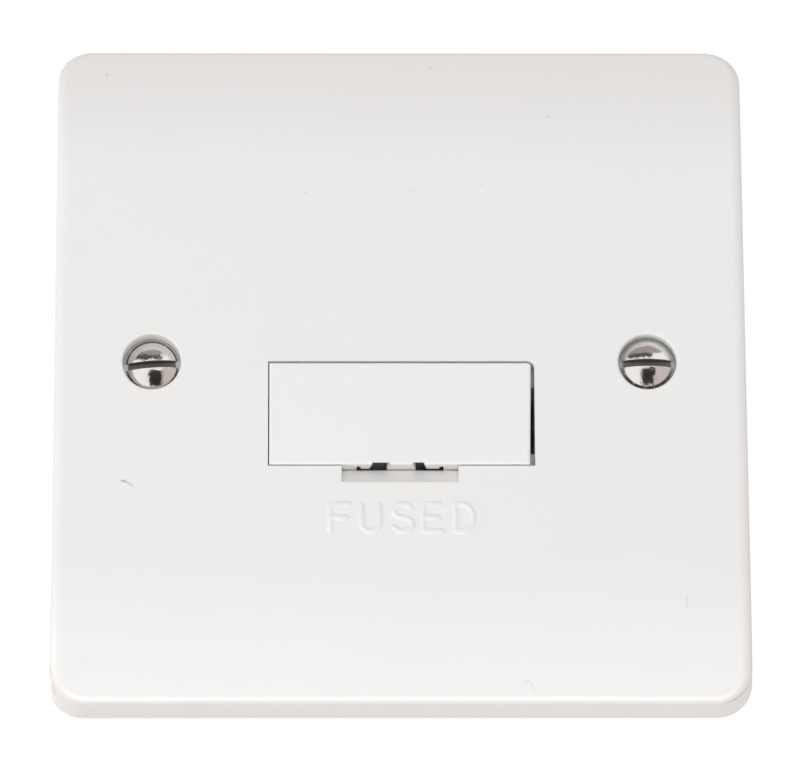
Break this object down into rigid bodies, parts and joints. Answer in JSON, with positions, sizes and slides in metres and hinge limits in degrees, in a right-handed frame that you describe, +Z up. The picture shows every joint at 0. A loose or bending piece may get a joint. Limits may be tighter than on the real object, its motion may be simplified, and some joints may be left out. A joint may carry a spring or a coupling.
{
  "type": "fused connection unit",
  "caption": "White one-gang unswitched fused connection unit: a moulded wall plate with a pull-out fuse carrier, a lever notch and slotted fixing screws.",
  "frame": {"origin": "middle of the plate's back, on the wall, half way between the two fixing screws", "axes": "+Y into the wall, +X to the right as seen from the room, +Z up; the face looks along -Y"},
  "size_m": [0.0852, 0.0319, 0.0852],
  "materials": {
    "white_moulding": "satin gloss",
    "black_moulding": "matt",
    "nickel_plate": "bright",
    "steel": "bright zinc",
    "tinned_copper": "tinned",
    "brass": "turned",
    "fuse_ceramic": "matt",
    "fuse_cap_metal": "bright"
  },
  "bodies": {
    "unit": {"front_plate": "white_moulding", "rear_housing": "black_moulding", "mounting_screw_left": "nickel_plate", "mounting_screw_right": "nickel_plate", "housing_screws": "steel", "supply_fuse_clip": "tinned_copper", "load_fuse_clip": "tinned_copper", "neutral_link": "tinned_copper", "earth_strap": "tinned_copper", "live_supply_terminal": "brass", "live_load_terminal": "brass", "neutral_supply_terminal": "brass", "neutral_load_terminal": "brass", "earth_terminal": "brass", "live_terminal_screws": "brass", "neutral_terminal_screws": "brass", "earth_terminal_screws": "brass", "clip_rivets": "brass", "link_rivets": "brass", "earth_rivet": "brass"},
    "carrier": {"fuse_carrier": "white_moulding", "fuse_tube": "fuse_ceramic", "fuse_cap_left": "fuse_cap_metal", "fuse_cap_right": "fuse_cap_metal"}
  },
  "joints": [
    {"name": "carrier_slide", "type": "slide", "parent": "unit", "child": "carrier", "axis": [0, -1, 0], "range_m": [0, 0.014]}
  ]
}
